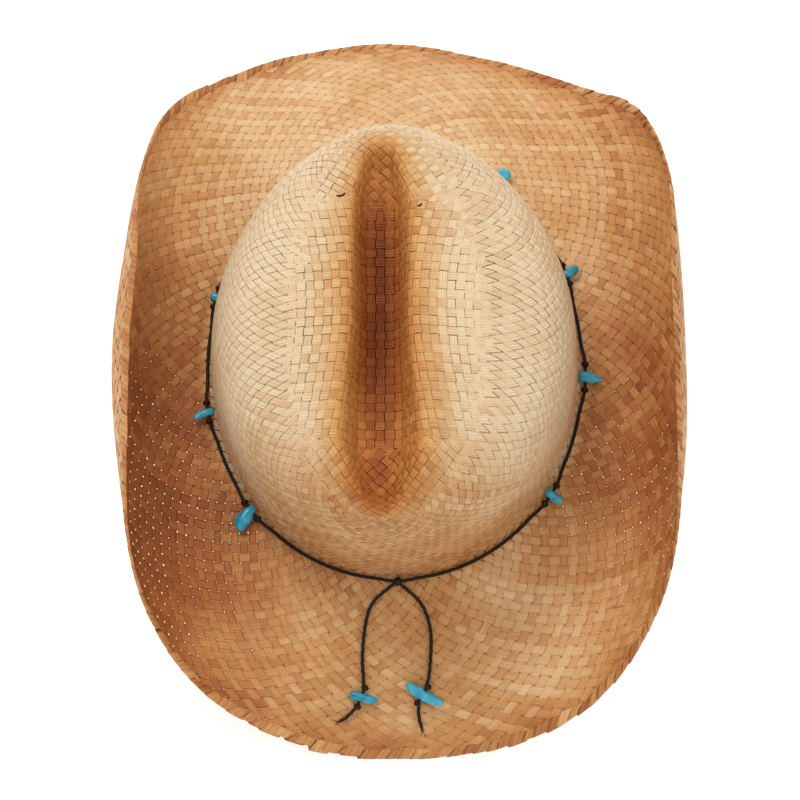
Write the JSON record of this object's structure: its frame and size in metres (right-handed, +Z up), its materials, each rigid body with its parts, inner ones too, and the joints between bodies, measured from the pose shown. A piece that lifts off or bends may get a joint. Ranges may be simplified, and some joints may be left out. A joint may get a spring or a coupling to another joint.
{
  "type": "straw cowboy hat",
  "caption": "Woven straw hat with a creased oval crown and a brim rolled up at both sides, with a knotted cord band carrying polished stone chips.",
  "frame": {"origin": "centre of the hat's outline, at the level of the surface that it stands on, under the crown", "axes": "+Z up. The front of the brim, where the cord is tied, points along -Y. +X is to the right of someone who looks at the front from above. The hat leans about 3 degrees so that it stands on the front and back edges of its brim."},
  "size_m": [0.2682, 0.3614, 0.1564],
  "materials": {
    "straw": "woven flat raffia strips, cream on the crown and stained brown in the crease and on the brim, matte with a slight sheen",
    "waxed_cord": "black-brown waxed cord, satin",
    "turquoise": "tumble-polished turquoise chips"
  },
  "bodies": {
    "root": {"woven_body": "straw", "band_cord": "waxed_cord", "bead_1": "turquoise", "bead_2": "turquoise", "bead_3": "turquoise", "bead_4": "turquoise", "bead_5": "turquoise", "bead_6": "turquoise", "bead_7": "turquoise", "bead_8": "turquoise", "bead_9": "turquoise"}
  },
  "joints": []
}
